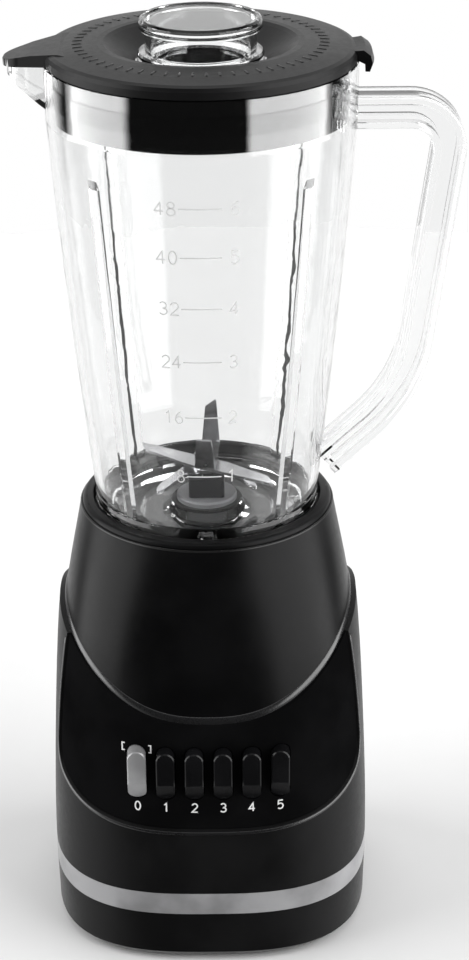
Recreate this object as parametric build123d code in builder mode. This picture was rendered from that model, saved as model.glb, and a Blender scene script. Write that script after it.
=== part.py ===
from build123d import *
import math
import os

# Countertop blender. Millimetres, +Z up. The origin is on the table under the middle of the base.
# The control panel faces -Y, the jar's handle is on +X and its spout on -X.

# ---------------------------------------------------------------- driving dimensions
WALL = 2.6  # moulded housing walls
LIP = 0.1  # hairline between parts that are clamped together
AIR = 0.4  # gap between parts that lift off or slide past each other

FOOT_H = 2.5
FOOT_R = 8.0
FOOT_AT = 40.0  # feet at plus and minus this along X and Y

COVER_TOP = 25.5
BAND_TOP = 36.4
BODY_FROM = BAND_TOP + LIP
BODY_TOP = 165.0
BODY_POWER = 2.85  # squareness of the base's plan, where 2 is round; it falls towards the top
PANEL_SINK = 1.0  # control panel below the housing's surface

SADDLE_R = 86.5  # the saddle that parts the cone from the lower housing is an arch along X
SADDLE_Z = 68.5

PANEL_EDGE_Y = -33.0  # upright side edges of the control panel
PANEL_EDGE_Z = 86.5
PANEL_FALL = 0.45  # the panel's lower edge falls towards the front
PANEL_CORNER = 14.0

CONE_TOP = 199.6
CONE_TOP_R = 56.2
RING_R = 55.4  # collar round the jar's foot
RING_TOP = 202.8
SEAT_R = 50.2
SEAT_Z = 198.0
WELL_R = 43.6
DECK_Z = 166.0
DECK_T = 3.0

JAR_FOOT_R = 49.2
JAR_RIM_R = 65.5
JAR_RIM_Z = 399.5
JAR_WALL = 3.1
JAR_SKIRT_R = 42.8
JAR_SKIRT_Z = 182.0
JAR_BOSS_Z = 199.0
JAR_UNDER_Z = 188.0
RIB_AZIMUTHS = (45, 135, 225, 315)

HANDLE_W = 14.0  # across the grip, in its own plane
HANDLE_D = 18.0  # across the flanges, along Y
HANDLE_FLANGE = 3.4
HANDLE_GROOVE = 4.6

LID_R = 65.0
LID_Z = 399.9
LID_HOLE_R = 21.2
SKIRT_R = 61.2
SKIRT_Z = 377.1
TONGUE_TIP = 82.0
TAB_ARC = 20.0

CAP_TOP = 417.0
CAP_R = 25.5
CAP_FLOOR = 384.0

BUTTONS = 6
BUTTON_PITCH = 12.62
BUTTON_W = 8.2
BUTTON_LOW = 84.6
BUTTON_HIGH = 110.2
BUTTON_PROUD = 5.4
BUTTON_BEVEL = 10.0  # height of the sloping lower face
STEM_Z = 100.0
STEM = 4.0
FRAME_Y = -49.0  # front face of the switch frame
FRAME_T = 4.0
LATCH_TRAVEL = 3.0

AXLE_R = 4.0
RUNNING = 0.03  # radial clearance of a shaft in its bush
CORE_LOW = 106.0
CORE_HIGH = 134.0
CORE_BORE = 17.5
ARMATURE_R = 16.8
MOTOR_BOLT_X = 30.5
MOUNT_AT = 26.0
UPPER_BRACKET = 144.0
LOWER_BRACKET = 66.0
BRACKET_T = 4.0
BRUSH_Z = 87.0
COMMUTATOR_R = 11.0
COUPLING_LOW = 168.5
COUPLING_HIGH = 178.5
HUB_TOP = 211.6

BOSS_AT = 51.0  # housing screws at plus and minus this along X and Y
CORD_Z = 50.0
CORD_BORE = 3.6

BODY_STATIONS = [
    (BODY_FROM, 72.6, BODY_POWER),
    (67.5, 72.0, BODY_POWER),
    (94.5, 70.9, BODY_POWER),
    (121.5, 69.6, 2.65),
    (BODY_TOP, 65.8, 2.35),
]
CONE_STATIONS = [
    (108.0, 69.0, 2.7),
    (137.5, 66.6, 2.45),
    (162.5, 63.2, 2.3),
    (182.0, 59.6, 2.1),
    (CONE_TOP, CONE_TOP_R, 2.0),
]
BAND_STATIONS = [(COVER_TOP + LIP, 72.5, BODY_POWER), (BAND_TOP, 72.6, BODY_POWER)]
COVER_STATIONS = [(4.6, 71.9, BODY_POWER), (COVER_TOP, 72.5, BODY_POWER)]
COVER_BEVEL = [(FOOT_H, 70.2, BODY_POWER), (4.6, 71.9, BODY_POWER)]

SQUARE_FEET = [(x, y) for x in (-FOOT_AT, FOOT_AT) for y in (-FOOT_AT, FOOT_AT)]
SQUARE_BOSSES = [(x, y) for x in (-BOSS_AT, BOSS_AT) for y in (-BOSS_AT, BOSS_AT)]
SQUARE_MOUNTS = [(x, y) for x in (-MOUNT_AT, MOUNT_AT) for y in (-MOUNT_AT, MOUNT_AT)]
MOTOR_BOLTS = [(-MOTOR_BOLT_X, 0), (MOTOR_BOLT_X, 0)]
BUTTON_X = [BUTTON_PITCH * (i - (BUTTONS - 1) / 2) for i in range(BUTTONS)]


# ---------------------------------------------------------------- shared outlines
def superellipse(half, power, count=32):
    """Points around a rounded square whose sides stand at plus and minus half."""
    points = []
    for i in range(count):
        turn = 2 * math.pi * i / count
        c, s = math.cos(turn), math.sin(turn)
        reach = half * (abs(c) ** power + abs(s) ** power) ** (-1 / power)
        points.append((reach * c, reach * s))
    return points


def hull(stations, inset=0.0, mode=Mode.ADD):
    """Lofts the base's outline through its stations, each a height, a half width and a power."""
    sections = []
    for z, half, power in stations:
        with BuildSketch(Plane.XY.offset(z)) as section:
            with BuildLine():
                Spline(*superellipse(half - inset, power), periodic=True)
            make_face()
        sections.append(section.sketch)
    loft(sections, mode=mode)


def shell(stations, inset=0.0, wall=WALL):
    """A wall that follows the base's outline."""
    hull(stations, inset)
    hull(stations, inset + wall, Mode.SUBTRACT)


def under_saddle(lift=0.0, mode=Mode.INTERSECT):
    """Keeps or removes what is below the saddle line that parts the cone from the lower housing."""
    reach = SADDLE_R + lift
    with BuildSketch(Plane.YZ) as side:
        with Locations((0, SADDLE_Z)):
            Circle(reach)
        with Locations((0, SADDLE_Z / 2)):
            Rectangle(2 * reach, SADDLE_Z)
    extrude(side.sketch, amount=110.0, both=True, mode=mode)


def panel_region(gap=0.0, mode=Mode.INTERSECT):
    """Keeps or removes the front region that the control panel fills, less a gap all round."""
    front, top = -110.0, 200.0
    edge, corner = PANEL_EDGE_Y - gap, PANEL_EDGE_Z + gap
    low = corner - PANEL_FALL * (edge - front)
    with BuildSketch(Plane.YZ) as side:
        with BuildLine():
            FilletPolyline((front, low), (edge, corner), (edge, top), radius=PANEL_CORNER)
            Polyline((edge, top), (front, top), (front, low))
        make_face()
    extrude(side.sketch, amount=-front, both=True, mode=mode)


def body_half(z):
    """Half width of the lower housing at a height, between its stations."""
    for (z0, half0, _), (z1, half1, _) in zip(BODY_STATIONS, BODY_STATIONS[1:]):
        if z <= z1:
            return half0 + (half1 - half0) * (z - z0) / (z1 - z0)
    return BODY_STATIONS[-1][1]


def panel_front(x):
    """Y of the control panel's surface at the buttons' mid height."""
    half = body_half(STEM_Z) - PANEL_SINK
    return -((half**BODY_POWER - abs(x) ** BODY_POWER) ** (1 / BODY_POWER))


def turned(profile, mode=Mode.ADD):
    """Revolves a closed outline of radius and height points about the blender's axis."""
    with BuildSketch(Plane.XZ) as half:
        with BuildLine():
            Polyline(*profile, close=True)
        make_face()
    revolve(half.sketch, axis=Axis.Z, mode=mode)


def disc(radius, low, high, bore=0.0, at=((0, 0),), mode=Mode.ADD):
    """Upright cylinders between two heights, bored through when a bore is given."""
    with BuildSketch(Plane.XY.offset(low)) as plan:
        with Locations(*at):
            Circle(radius)
            if bore:
                Circle(bore, mode=Mode.SUBTRACT)
    extrude(plan.sketch, amount=high - low, mode=mode)


def drill(radius, low, high, at=((0, 0),)):
    """Upright round holes between two heights."""
    disc(radius, low, high, at=at, mode=Mode.SUBTRACT)


def slab(x0, x1, y0, y1, z0, z1, corner=0.0, mode=Mode.ADD):
    """A block between three pairs of limits, its upright edges rounded by corner."""
    with BuildSketch(Plane.XY.offset(z0)) as plan:
        with Locations(((x0 + x1) / 2, (y0 + y1) / 2)):
            if corner:
                RectangleRounded(x1 - x0, y1 - y0, corner)
            else:
                Rectangle(x1 - x0, y1 - y0)
    extrude(plan.sketch, amount=z1 - z0, mode=mode)


def upright(azimuth):
    """Plane through the axis, drawn as radius and height at an azimuth."""
    turn = math.radians(azimuth)
    return Plane(
        origin=(0, 0, 0),
        x_dir=(math.cos(turn), math.sin(turn), 0),
        z_dir=(math.sin(turn), -math.cos(turn), 0),
    )


def along_y(y):
    """Plane across the Y axis at y, drawn as X and Z, with its normal along +Y."""
    return Plane(origin=(0, y, 0), x_dir=(-1, 0, 0), z_dir=(0, 1, 0))


def bar_y(x, z, width, height, y0, y1, mode=Mode.ADD):
    """A rectangular bar that runs along Y."""
    slab(x - width / 2, x + width / 2, y0, y1, z - height / 2, z + height / 2, mode=mode)


def pin_y(radius, x, z, y0, y1, mode=Mode.ADD):
    """A round pin or hole that runs along Y."""
    with BuildSketch(along_y(y0)) as section:
        with Locations((-x, z)):
            Circle(radius)
    extrude(section.sketch, amount=y1 - y0, mode=mode)


def star(root, lobe):
    """Outline of the six-lobed drive, in the active sketch."""
    Circle(root)
    with PolarLocations(6.6, 6):
        Circle(lobe)


def spring_y(coil_r, wire_r, x, z, y0, y1, turns):
    """A compression spring that runs along Y."""
    free = y1 - y0 - 2 * wire_r
    with BuildLine() as coil:
        Helix(free / turns, free, coil_r, center=(x, y0 + wire_r, z), direction=(0, 1, 0))
    with BuildSketch(Plane(origin=coil.line @ 0, z_dir=coil.line % 0)) as wire:
        Circle(wire_r)
    sweep(wire.sketch, path=coil.line, is_frenet=True)


made = {}


def finish(part, name):
    """Labels a finished piece and keeps it for export."""
    part.label = name
    made[name] = part


# ---------------------------------------------------------------- base: feet, cover and band
with BuildPart() as rubber_feet:
    disc(FOOT_R, 0, FOOT_H, at=SQUARE_FEET)
    chamfer(rubber_feet.faces().sort_by(Axis.Z)[0:4].edges(), 0.6)
    disc(3.9, FOOT_H, 5.0 + LIP, at=SQUARE_FEET)
    disc(5.0, 5.0 + LIP, 7.0, at=SQUARE_FEET)
finish(rubber_feet.part, "rubber_feet")

with BuildPart() as bottom_cover:
    hull(COVER_BEVEL)
    hull(COVER_STATIONS)
    hull([(5.0, 71.9, BODY_POWER), (COVER_TOP, 72.5, BODY_POWER)], WALL, Mode.SUBTRACT)
    disc(4.6, 4.0, BAND_TOP, at=SQUARE_BOSSES)
    drill(4.0, FOOT_H, 14.0, at=SQUARE_BOSSES)
    drill(2.3, 14.0, BAND_TOP, at=SQUARE_BOSSES)
    drill(4.0, FOOT_H, 5.0, at=SQUARE_FEET)
    with BuildSketch(Plane.XY.offset(FOOT_H)):
        with GridLocations(8, 0, 7, 1):
            SlotOverall(46, 3, rotation=90)
    extrude(amount=4, mode=Mode.SUBTRACT)
finish(bottom_cover.part, "bottom_cover")

with BuildPart() as trim_band:
    shell(BAND_STATIONS, wall=3.0)
finish(trim_band.part, "trim_band")

with BuildPart() as housing_screws:
    disc(3.6, 11.0, 14.0, at=SQUARE_BOSSES)
    drill(1.2, 11.0, 12.6, at=SQUARE_BOSSES)
    disc(1.9, 14.0, 54.0, at=SQUARE_BOSSES)
finish(housing_screws.part, "housing_screws")

# ---------------------------------------------------------------- base: lower housing and cord gland
with BuildPart() as lower_housing:
    shell(BODY_STATIONS)
    under_saddle()
    panel_region(mode=Mode.SUBTRACT)
    disc(6.5, BODY_FROM, 60.0, at=SQUARE_BOSSES)
    drill(1.95, BODY_FROM, 56.0, at=SQUARE_BOSSES)
    pin_y(7.0, 0, CORD_Z, 60, 80, mode=Mode.SUBTRACT)
finish(lower_housing.part, "lower_housing")

with BuildPart() as cord_gland:
    back = body_half(CORD_Z)
    pin_y(6.9, 0, CORD_Z, back - 8.0, back + 0.6)
    pin_y(9.0, 0, CORD_Z, back + 0.4, back + 2.8)
    pin_y(8.6, 0, CORD_Z, back - 8.0, back - WALL - 0.7)
    pin_y(CORD_BORE, 0, CORD_Z, back - 10.0, back + 5.0, mode=Mode.SUBTRACT)
finish(cord_gland.part, "cord_gland")

# ---------------------------------------------------------------- base: cone, seat and motor deck
with BuildPart() as upper_housing:
    shell(CONE_STATIONS, wall=2.8)
    under_saddle(lift=0.2, mode=Mode.SUBTRACT)
    with BuildSketch(Plane.XZ):
        with BuildLine():
            Line((RING_R, 198.6), (RING_R, 200.3))
            ThreePointArc((RING_R, 200.3), (54.8, 201.6), (53.2, 202.3))
            Line((53.2, 202.3), (51.2, RING_TOP))
            ThreePointArc((51.2, RING_TOP), (50.5, 202.6), (SEAT_R, 202.0))
            Polyline(
                (SEAT_R, 202.0),
                (SEAT_R, SEAT_Z),
                (WELL_R, SEAT_Z),
                (WELL_R, DECK_Z),
                (6.0, DECK_Z),
                (6.0, DECK_Z - DECK_T),
                (WELL_R + 3, DECK_Z - DECK_T),
                (WELL_R + 3, SEAT_Z - 3),
                (CONE_TOP_R - 1.6, SEAT_Z - 3),
                (RING_R, 198.6),
            )
        make_face()
    revolve(axis=Axis.Z)
    for azimuth in (0, 90, 180, 270):
        with BuildSketch(Plane.XY.offset(DECK_Z)):
            with Locations(Rotation(0, 0, azimuth)):
                with Locations((WELL_R - 0.8, 0)):
                    Rectangle(2.6, 5.0)
        extrude(amount=28.0)
    disc(5.5, UPPER_BRACKET + BRACKET_T + 8.0, DECK_Z - DECK_T, at=SQUARE_MOUNTS)
    drill(1.95, UPPER_BRACKET + BRACKET_T + 8.0, DECK_Z - DECK_T - 1, at=SQUARE_MOUNTS)
finish(upper_housing.part, "upper_housing")

# ---------------------------------------------------------------- base: control panel and switches
POST_X, POST_Z = 41.0, (87.0, 113.0)
POSTS = [(x, z) for x in (-POST_X, POST_X) for z in POST_Z]

with BuildPart() as control_panel:
    shell(BODY_STATIONS, PANEL_SINK)
    under_saddle()
    panel_region(gap=0.3)
    with BuildSketch(Plane.XZ):
        for x in BUTTON_X:
            with Locations((x, (BUTTON_LOW + BUTTON_HIGH) / 2)):
                SlotOverall(BUTTON_HIGH - BUTTON_LOW + 0.9, BUTTON_W + 0.9, rotation=90)
    extrude(amount=90, mode=Mode.SUBTRACT)
    for x, z in POSTS:
        pin_y(3.2, x, z, -58.6, FRAME_Y - LIP)
    for x, z in POSTS:
        pin_y(1.5, x, z, -56.4, FRAME_Y - LIP, mode=Mode.SUBTRACT)
finish(control_panel.part, "control_panel")

with BuildPart() as switch_frame:
    slab(-45, 45, FRAME_Y, FRAME_Y + FRAME_T, 82, 118)
    for x in BUTTON_X:
        bar_y(x, STEM_Z, STEM + 0.8, STEM + 0.8, FRAME_Y - 1, FRAME_Y + FRAME_T + 1, Mode.SUBTRACT)
    for x, z in POSTS:
        pin_y(1.6, x, z, FRAME_Y - 1, FRAME_Y + FRAME_T + 1, mode=Mode.SUBTRACT)
    slab(-36, 36, FRAME_Y + FRAME_T, FRAME_Y + FRAME_T + 2.4, 106.5, 109.5)
    slab(-36, 36, FRAME_Y + FRAME_T, FRAME_Y + FRAME_T + 2.4, 90.5, 93.5)
    slab(-38, 38, FRAME_Y + FRAME_T, FRAME_Y + FRAME_T + 12, 84, 90)
finish(switch_frame.part, "switch_frame")

with BuildPart() as panel_screws:
    for x, z in POSTS:
        pin_y(1.45, x, z, -55.6, FRAME_Y + FRAME_T)
        pin_y(2.8, x, z, FRAME_Y + FRAME_T, FRAME_Y + FRAME_T + 1.8)
finish(panel_screws.part, "panel_screws")

with BuildPart() as switch_contacts:
    for x in BUTTON_X:
        for y in (-37.4, -34.4):
            slab(x - 2.5, x + 2.5, y, y + 0.5, 90.0, 105.0)
finish(switch_contacts.part, "switch_contacts")

with BuildPart() as latch_bar:
    slab(-38, 38, FRAME_Y + FRAME_T + 0.4, FRAME_Y + FRAME_T + 1.6, 94, 106)
    for x in BUTTON_X:
        gap = STEM / 2 + AIR
        slab(x - gap - LATCH_TRAVEL, x + gap, -46, -42, STEM_Z - gap, STEM_Z + gap, mode=Mode.SUBTRACT)
finish(latch_bar.part, "latch_bar")

FLANGE_Y = -59.9
for i, x in enumerate(BUTTON_X):
    front = panel_front(x) - BUTTON_PROUD
    with BuildPart() as button:
        with BuildSketch(along_y(front)):
            with Locations((-x, (BUTTON_LOW + BUTTON_HIGH) / 2)):
                SlotOverall(BUTTON_HIGH - BUTTON_LOW, BUTTON_W, rotation=90)
        extrude(amount=FLANGE_Y - 1.2 - front)
        chamfer(button.faces().sort_by(Axis.Y)[0].edges(), 0.5)
        with BuildSketch(Plane.YZ.offset(x)):
            Polygon(
                (front - 1, BUTTON_LOW + BUTTON_BEVEL + 1.6),
                (front - 1, BUTTON_LOW - 4),
                (front + BUTTON_PROUD - 0.4, BUTTON_LOW - 4),
                (front + BUTTON_PROUD - 0.4, BUTTON_LOW),
                align=None,
            )
        extrude(amount=BUTTON_W, both=True, mode=Mode.SUBTRACT)
        slab(x - 4.7, x + 4.7, FLANGE_Y - 1.2, FLANGE_Y, BUTTON_LOW + 1, BUTTON_HIGH - 1)
        bar_y(x, STEM_Z, STEM, STEM, FLANGE_Y, FRAME_Y + FRAME_T + 2.8)
    finish(button.part, "off_button" if i == 0 else f"speed_button_{i}")
    with BuildPart() as button_spring:
        spring_y(3.4, 0.3, x, STEM_Z, FLANGE_Y + 0.1, FRAME_Y - 0.1, 5)
    finish(button_spring.part, f"button_spring_{i}")

# ---------------------------------------------------------------- motor: stator and brackets
with BuildPart() as stator_core:
    slab(-35, 35, -29, 29, CORE_LOW, CORE_HIGH, corner=6)
    drill(CORE_BORE, CORE_LOW, CORE_HIGH)
    with BuildSketch(Plane.XY.offset(CORE_LOW)):
        for start in (8, 147, 188, 327):
            SlotArc(CenterArc((0, 0), 21.8, start, 25), height=8.4)
    extrude(amount=CORE_HIGH - CORE_LOW, mode=Mode.SUBTRACT)
    drill(2.2, CORE_LOW, CORE_HIGH, at=MOTOR_BOLTS)
finish(stator_core.part, "stator_core")

with BuildPart() as field_coils:
    for middle in (90, 270):
        with BuildSketch(Plane.XY.offset(CORE_LOW - 7.5)):
            for start in (middle - 80, middle + 60):
                SlotArc(CenterArc((0, 0), 22.0, start, 20), height=7.0)
        extrude(amount=CORE_HIGH - CORE_LOW + 15)
        for low in (CORE_LOW - 7.5, CORE_HIGH + 0.5):
            with BuildSketch(Plane.XY.offset(low)):
                SlotArc(CenterArc((0, 0), 22.0, middle - 80, 160), height=7.0)
            extrude(amount=7.0)
finish(field_coils.part, "field_coils")

with BuildPart() as upper_motor_bracket:
    slab(-34, 34, -33, 33, UPPER_BRACKET, UPPER_BRACKET + BRACKET_T, corner=7)
    disc(4.4, CORE_HIGH, UPPER_BRACKET, at=MOTOR_BOLTS)
    disc(10, UPPER_BRACKET + BRACKET_T, UPPER_BRACKET + BRACKET_T + 4)
    drill(7.0, UPPER_BRACKET - 1, UPPER_BRACKET + BRACKET_T + 4)
    drill(2.0, CORE_HIGH, UPPER_BRACKET + BRACKET_T, at=MOTOR_BOLTS)
    drill(2.3, UPPER_BRACKET, UPPER_BRACKET + BRACKET_T, at=SQUARE_MOUNTS)
    for x, y in ((20, 0), (-20, 0), (0, 20), (0, -20)):
        drill(5.0, UPPER_BRACKET, UPPER_BRACKET + BRACKET_T, at=[(x, y)])
finish(upper_motor_bracket.part, "upper_motor_bracket")

with BuildPart() as lower_motor_bracket:
    slab(-36, 36, -22, 22, LOWER_BRACKET, LOWER_BRACKET + BRACKET_T, corner=8)
    slab(-6, 6, -31, 31, LOWER_BRACKET, LOWER_BRACKET + BRACKET_T, corner=3)
    disc(10, LOWER_BRACKET - 4, LOWER_BRACKET)
    disc(4.4, LOWER_BRACKET + BRACKET_T, CORE_LOW, at=MOTOR_BOLTS)
    for y in (-25, 25):
        slab(-5, 5, y - 4, y + 4, LOWER_BRACKET + BRACKET_T, BRUSH_Z - 4.1)
    drill(7.0, LOWER_BRACKET - 4, LOWER_BRACKET + BRACKET_T)
    drill(2.0, LOWER_BRACKET, CORE_LOW, at=MOTOR_BOLTS)
finish(lower_motor_bracket.part, "lower_motor_bracket")

with BuildPart() as motor_bushings:
    disc(7.0, LOWER_BRACKET - 3.9, LOWER_BRACKET + BRACKET_T, AXLE_R + RUNNING)
    disc(7.0, UPPER_BRACKET - 0.2, UPPER_BRACKET + BRACKET_T + 3.9, AXLE_R + RUNNING)
finish(motor_bushings.part, "motor_bushings")

with BuildPart() as motor_screws:
    disc(3.6, LOWER_BRACKET - 3, LOWER_BRACKET, at=MOTOR_BOLTS)
    disc(1.9, LOWER_BRACKET, UPPER_BRACKET + BRACKET_T - 1, at=MOTOR_BOLTS)
finish(motor_screws.part, "motor_screws")

with BuildPart() as motor_mounts:
    low = UPPER_BRACKET + BRACKET_T
    disc(6.0, low, low + 8.0, 2.3, at=SQUARE_MOUNTS)
finish(motor_mounts.part, "motor_mounts")

with BuildPart() as motor_mount_screws:
    disc(3.8, UPPER_BRACKET - 3, UPPER_BRACKET, at=SQUARE_MOUNTS)
    disc(1.9, UPPER_BRACKET, DECK_Z - DECK_T - 2, at=SQUARE_MOUNTS)
finish(motor_mount_screws.part, "motor_mount_screws")

with BuildPart() as brush_holders:
    for side in (-1, 1):
        y0, y1 = sorted((side * 13.5, side * 30))
        bar_y(0, BRUSH_Z, 9, 8, y0, y1)
        bar_y(0, BRUSH_Z, 6.4, 5.4, *sorted((side * 13.5, side * 29)), mode=Mode.SUBTRACT)
finish(brush_holders.part, "brush_holders")

with BuildPart() as carbon_brushes:
    for side in (-1, 1):
        bar_y(0, BRUSH_Z, 6.2, 5.2, *sorted((side * (COMMUTATOR_R + 0.35), side * 22.5)))
finish(carbon_brushes.part, "carbon_brushes")

with BuildPart() as brush_springs:
    spring_y(1.9, 0.25, 0, BRUSH_Z, 22.6, 28.9, 5)
    spring_y(1.9, 0.25, 0, BRUSH_Z, -28.9, -22.6, 5)
finish(brush_springs.part, "brush_springs")

# ---------------------------------------------------------------- motor: turning parts
with BuildPart() as armature_shaft:
    disc(AXLE_R, 46.0, COUPLING_HIGH - 0.5)
    chamfer(armature_shaft.edges().filter_by(GeomType.CIRCLE), 0.5)
finish(armature_shaft.part, "armature_shaft")

with BuildPart() as armature_core:
    disc(ARMATURE_R, CORE_LOW, CORE_HIGH, AXLE_R)
    with BuildSketch(Plane.XY.offset(CORE_LOW)):
        with PolarLocations(14.5, 12):
            Rectangle(7.0, 2.6)
    extrude(amount=CORE_HIGH - CORE_LOW, mode=Mode.SUBTRACT)
finish(armature_core.part, "armature_core")

with BuildPart() as armature_windings:
    with BuildSketch(Plane.XY.offset(CORE_LOW - 8)):
        with PolarLocations(13.9, 12):
            Rectangle(4.6, 2.0)
    extrude(amount=CORE_HIGH - CORE_LOW + 16)
    for near, far in ((CORE_LOW - 0.2, CORE_LOW - 8.5), (CORE_HIGH + 0.2, CORE_HIGH + 8.5)):
        bulge = near + 0.7 * (far - near)
        turned([(5.4, near), (15.8, near), (15.8, bulge), (13.0, far), (7.5, far), (5.4, bulge)])
finish(armature_windings.part, "armature_windings")

with BuildPart() as commutator:
    disc(COMMUTATOR_R, 80.0, 94.0, AXLE_R)
    with BuildSketch(Plane.XY.offset(80.0)):
        with PolarLocations(COMMUTATOR_R, 12):
            Rectangle(3.0, 0.6)
    extrude(amount=14.0, mode=Mode.SUBTRACT)
finish(commutator.part, "commutator")

with BuildPart() as cooling_fan:
    disc(7.0, 48.0, 59.0, AXLE_R)
    disc(30.0, 57.5, 59.0, 6.0)
    with BuildSketch(Plane.XY.offset(48.5)):
        with PolarLocations(18.0, 9):
            Rectangle(23.0, 1.4)
    extrude(amount=9.2)
    drill(AXLE_R, 48.0, 59.0)
finish(cooling_fan.part, "cooling_fan")

with BuildPart() as shaft_slinger:
    disc(10.0, DECK_Z + 0.5, DECK_Z + 1.7, AXLE_R)
finish(shaft_slinger.part, "shaft_slinger")

with BuildPart() as drive_coupling:
    with BuildSketch(Plane.XY.offset(COUPLING_LOW)):
        star(6.4, 1.7)
        Circle(AXLE_R, mode=Mode.SUBTRACT)
    extrude(amount=COUPLING_HIGH - COUPLING_LOW)
finish(drive_coupling.part, "drive_coupling")

# ---------------------------------------------------------------- jar
HANDLE_PATH = ((60.0, 377.6), (105.9, 377.6), (88.2, 252.4), (52.0, 218.6))


def handle_band(width):
    """A band of the given width along the handle's middle line, in its own plane."""
    with BuildSketch(Plane.XZ) as band:
        with BuildLine() as middle:
            FilletPolyline(*HANDLE_PATH, radius=(16, 70))
        trace(middle.line, width)
    return band.sketch


def beak(lip_r, nose_r, inset):
    """Rounded plan of the spout, from the rim to its nose."""
    with BuildSketch(Plane.XY.offset(378)) as plan:
        with BuildLine():
            Polyline((-40, lip_r - 8), (-56, lip_r - 10), (-72.5, nose_r))
            ThreePointArc((-72.5, nose_r), (-80.3 + inset, 0), (-72.5, -nose_r))
            Polyline((-72.5, -nose_r), (-56, 10 - lip_r), (-40, 8 - lip_r), (-40, lip_r - 8))
        make_face()
    extrude(plan.sketch, amount=30)


def above_beak(drop, rim):
    """Keeps what is above the spout's curved underside and below its rim, given at nose and root."""
    nose, root = rim
    low = -30, 378.0 + drop
    with BuildSketch(Plane.XZ) as side:
        with BuildLine():
            Spline(low, (-66, 382.5 + drop), (-74, 388.6 + drop), (-82, 396.2 + drop))
            Polyline((-82, 396.2 + drop), (-82, nose), (-62, root), (-30, root), low)
        make_face()
    extrude(side.sketch, amount=40, both=True, mode=Mode.INTERSECT)


def jar_inside():
    """The jar's hollow, wider towards the rim, down to its dished floor."""
    with BuildSketch(Plane.XZ) as half:
        with BuildLine():
            Polyline((0, JAR_BOSS_Z), (16.2, JAR_BOSS_Z), (17.2, 195.4), (30, 195.8), (40, 199.4))
            Line((40, 199.4), (JAR_FOOT_R - JAR_WALL - 0.2, 206.0))
            Spline((JAR_FOOT_R - JAR_WALL - 0.2, 206.0), (54.5, 285.0), (62.1, 376.0))
            Polyline((62.1, 376.0), (62.4, 402.0), (0, 402.0), (0, JAR_BOSS_Z))
        make_face()
    revolve(half.sketch, axis=Axis.Z, mode=Mode.SUBTRACT)


with BuildPart() as spout_outside:
    beak(25.5, 7.6, 0.0)
    above_beak(0.0, (397.4, JAR_RIM_Z))

with BuildPart() as spout_inside:
    beak(23.0, 5.2, 2.4)
    above_beak(2.4, (405.0, 405.0))

with BuildPart() as jar:
    extrude(handle_band(HANDLE_W), amount=HANDLE_D / 2, both=True)
    fillet(jar.edges().filter_by(Plane.XZ).group_by(Axis.Y)[0], 1.4)
    fillet(jar.edges().filter_by(Plane.XZ).group_by(Axis.Y)[-1], 1.4)
    for side in (-1, 1):
        extrude(handle_band(HANDLE_W - 2 * HANDLE_FLANGE), amount=side * HANDLE_D, mode=Mode.SUBTRACT)
    web = HANDLE_D / 2 - HANDLE_GROOVE
    extrude(handle_band(HANDLE_W - 2 * HANDLE_FLANGE + 0.4), amount=web, both=True)
    with BuildSketch(Plane.XZ):
        with BuildLine():
            Polyline((0, JAR_RIM_Z), (JAR_RIM_R, JAR_RIM_Z), (65.2, 376.0))
            Spline((65.2, 376.0), (57.6, 285.0), (JAR_FOOT_R, 206.0))
            ThreePointArc((JAR_FOOT_R, 206.0), (48.7, 200.6), (46.2, SEAT_Z + 0.3))
            Polyline(
                (46.2, SEAT_Z + 0.3),
                (JAR_SKIRT_R, SEAT_Z + 0.3),
                (JAR_SKIRT_R, JAR_SKIRT_Z),
                (JAR_SKIRT_R - 2.5, JAR_SKIRT_Z),
                (JAR_SKIRT_R - 2.5, 192.4),
                (20, 192.0),
                (15, JAR_UNDER_Z),
                (0, JAR_UNDER_Z),
                (0, JAR_RIM_Z),
            )
        make_face()
    revolve(axis=Axis.Z)
    add(spout_outside.part)
    add(spout_inside.part, mode=Mode.SUBTRACT)
    jar_inside()
    for azimuth in RIB_AZIMUTHS:
        with BuildSketch(upright(azimuth)):
            with BuildLine():
                Polyline((43.4, 205.0), (41.5, 199.0), (46.0, 199.0), (47.6, 205.0))
                Spline((47.6, 205.0), (56.0, 284.0), (62.9, 366.0))
                Line((62.9, 366.0), (59.4, 357.0))
                Spline((59.4, 357.0), (52.0, 281.0), (43.4, 205.0))
            make_face()
        extrude(amount=2.3, both=True)
    drill(10.0, 180, 202)
    for azimuth in (0, 90, 180, 270):
        with BuildSketch(Plane.XY.offset(JAR_SKIRT_Z)):
            with Locations(Rotation(0, 0, azimuth)):
                with Locations((JAR_SKIRT_R - 1.2, 0)):
                    Rectangle(4.0, 6.2)
        extrude(amount=14.0, mode=Mode.SUBTRACT)
finish(jar.part, "jar")

with BuildPart() as jar_gasket:
    disc(15.4, JAR_BOSS_Z, JAR_BOSS_Z + 1.0, 10.0)
finish(jar_gasket.part, "jar_gasket")

with BuildPart() as blade_bearing_housing:
    disc(9.9, 184.0, JAR_BOSS_Z + 1.0)
    disc(13.4, JAR_BOSS_Z + 1.0, JAR_BOSS_Z + 3.4)
    chamfer(blade_bearing_housing.faces().sort_by(Axis.Z)[-1].edges(), 0.7)
    drill(5.2, 184.0, JAR_BOSS_Z + 3.4)
    drill(7.0, 184.0, 190.0)
    drill(7.0, 196.0, JAR_BOSS_Z + 3.4)
finish(blade_bearing_housing.part, "blade_bearing_housing")

with BuildPart() as blade_bushings:
    disc(7.0, 184.4, 190.0, AXLE_R + RUNNING)
    disc(7.0, 196.0, JAR_BOSS_Z + 2.6, AXLE_R + RUNNING)
finish(blade_bushings.part, "blade_bushings")

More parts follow.
